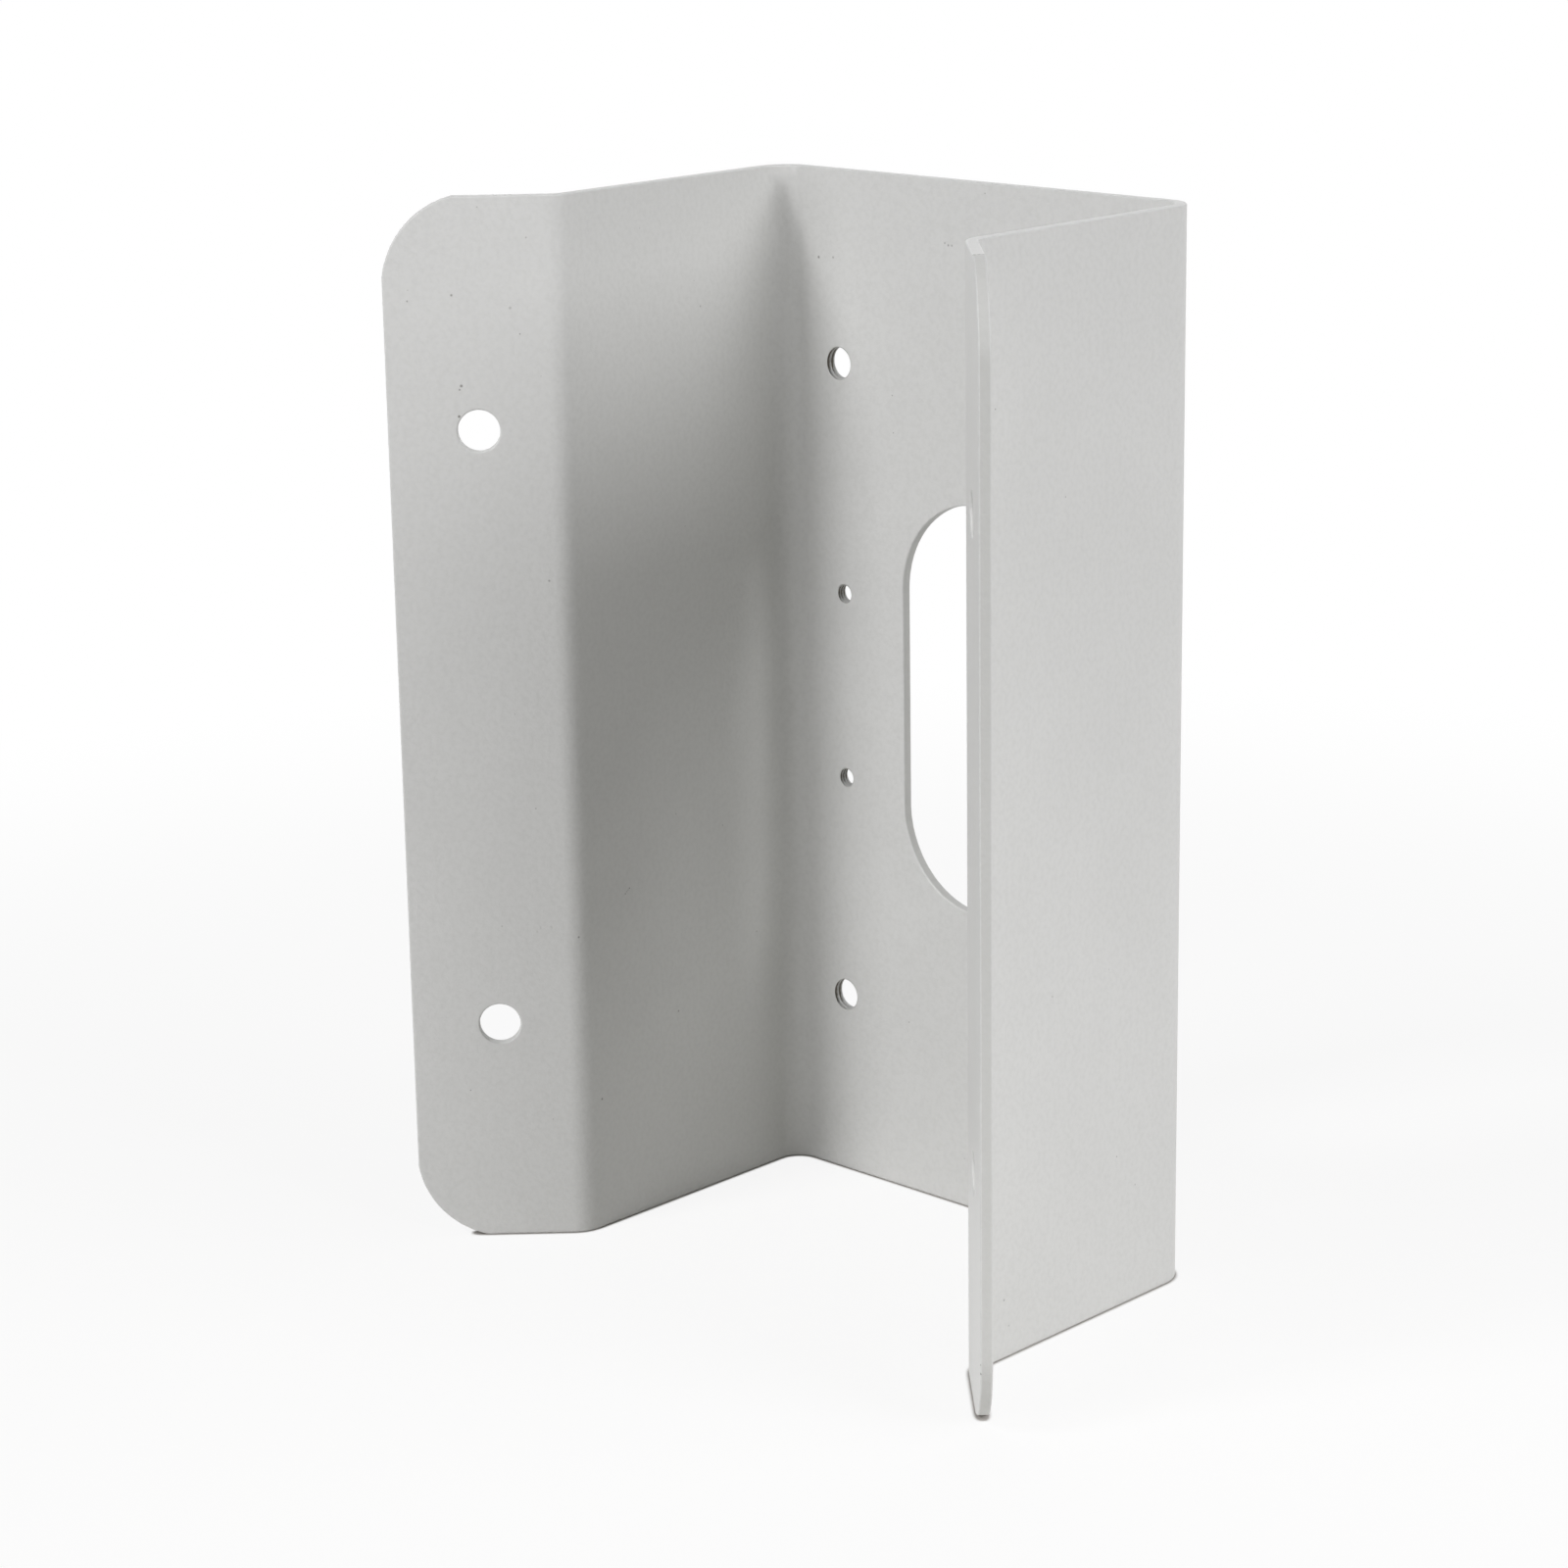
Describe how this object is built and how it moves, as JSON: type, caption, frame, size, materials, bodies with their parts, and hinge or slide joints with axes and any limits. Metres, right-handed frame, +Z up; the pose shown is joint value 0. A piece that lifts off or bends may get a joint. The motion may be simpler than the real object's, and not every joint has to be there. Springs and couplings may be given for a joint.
{
  "type": "camera corner mount bracket",
  "caption": "Folded steel bracket that carries a camera arm on the outside corner of a building, with splayed wall flanges and a cable slot.",
  "frame": {"origin": "middle of the bracket's footprint, on the surface that it stands on when it stands on end", "axes": "+Z up along the folds, X across the plate, -Y out of the plate towards the camera arm, +Y towards the building's corner"},
  "size_m": [0.1686, 0.0966, 0.231],
  "materials": {
    "painted_steel": "light warm grey powder coat with a fine satin texture"
  },
  "bodies": {
    "root": {"bracket": "painted_steel"}
  },
  "joints": []
}
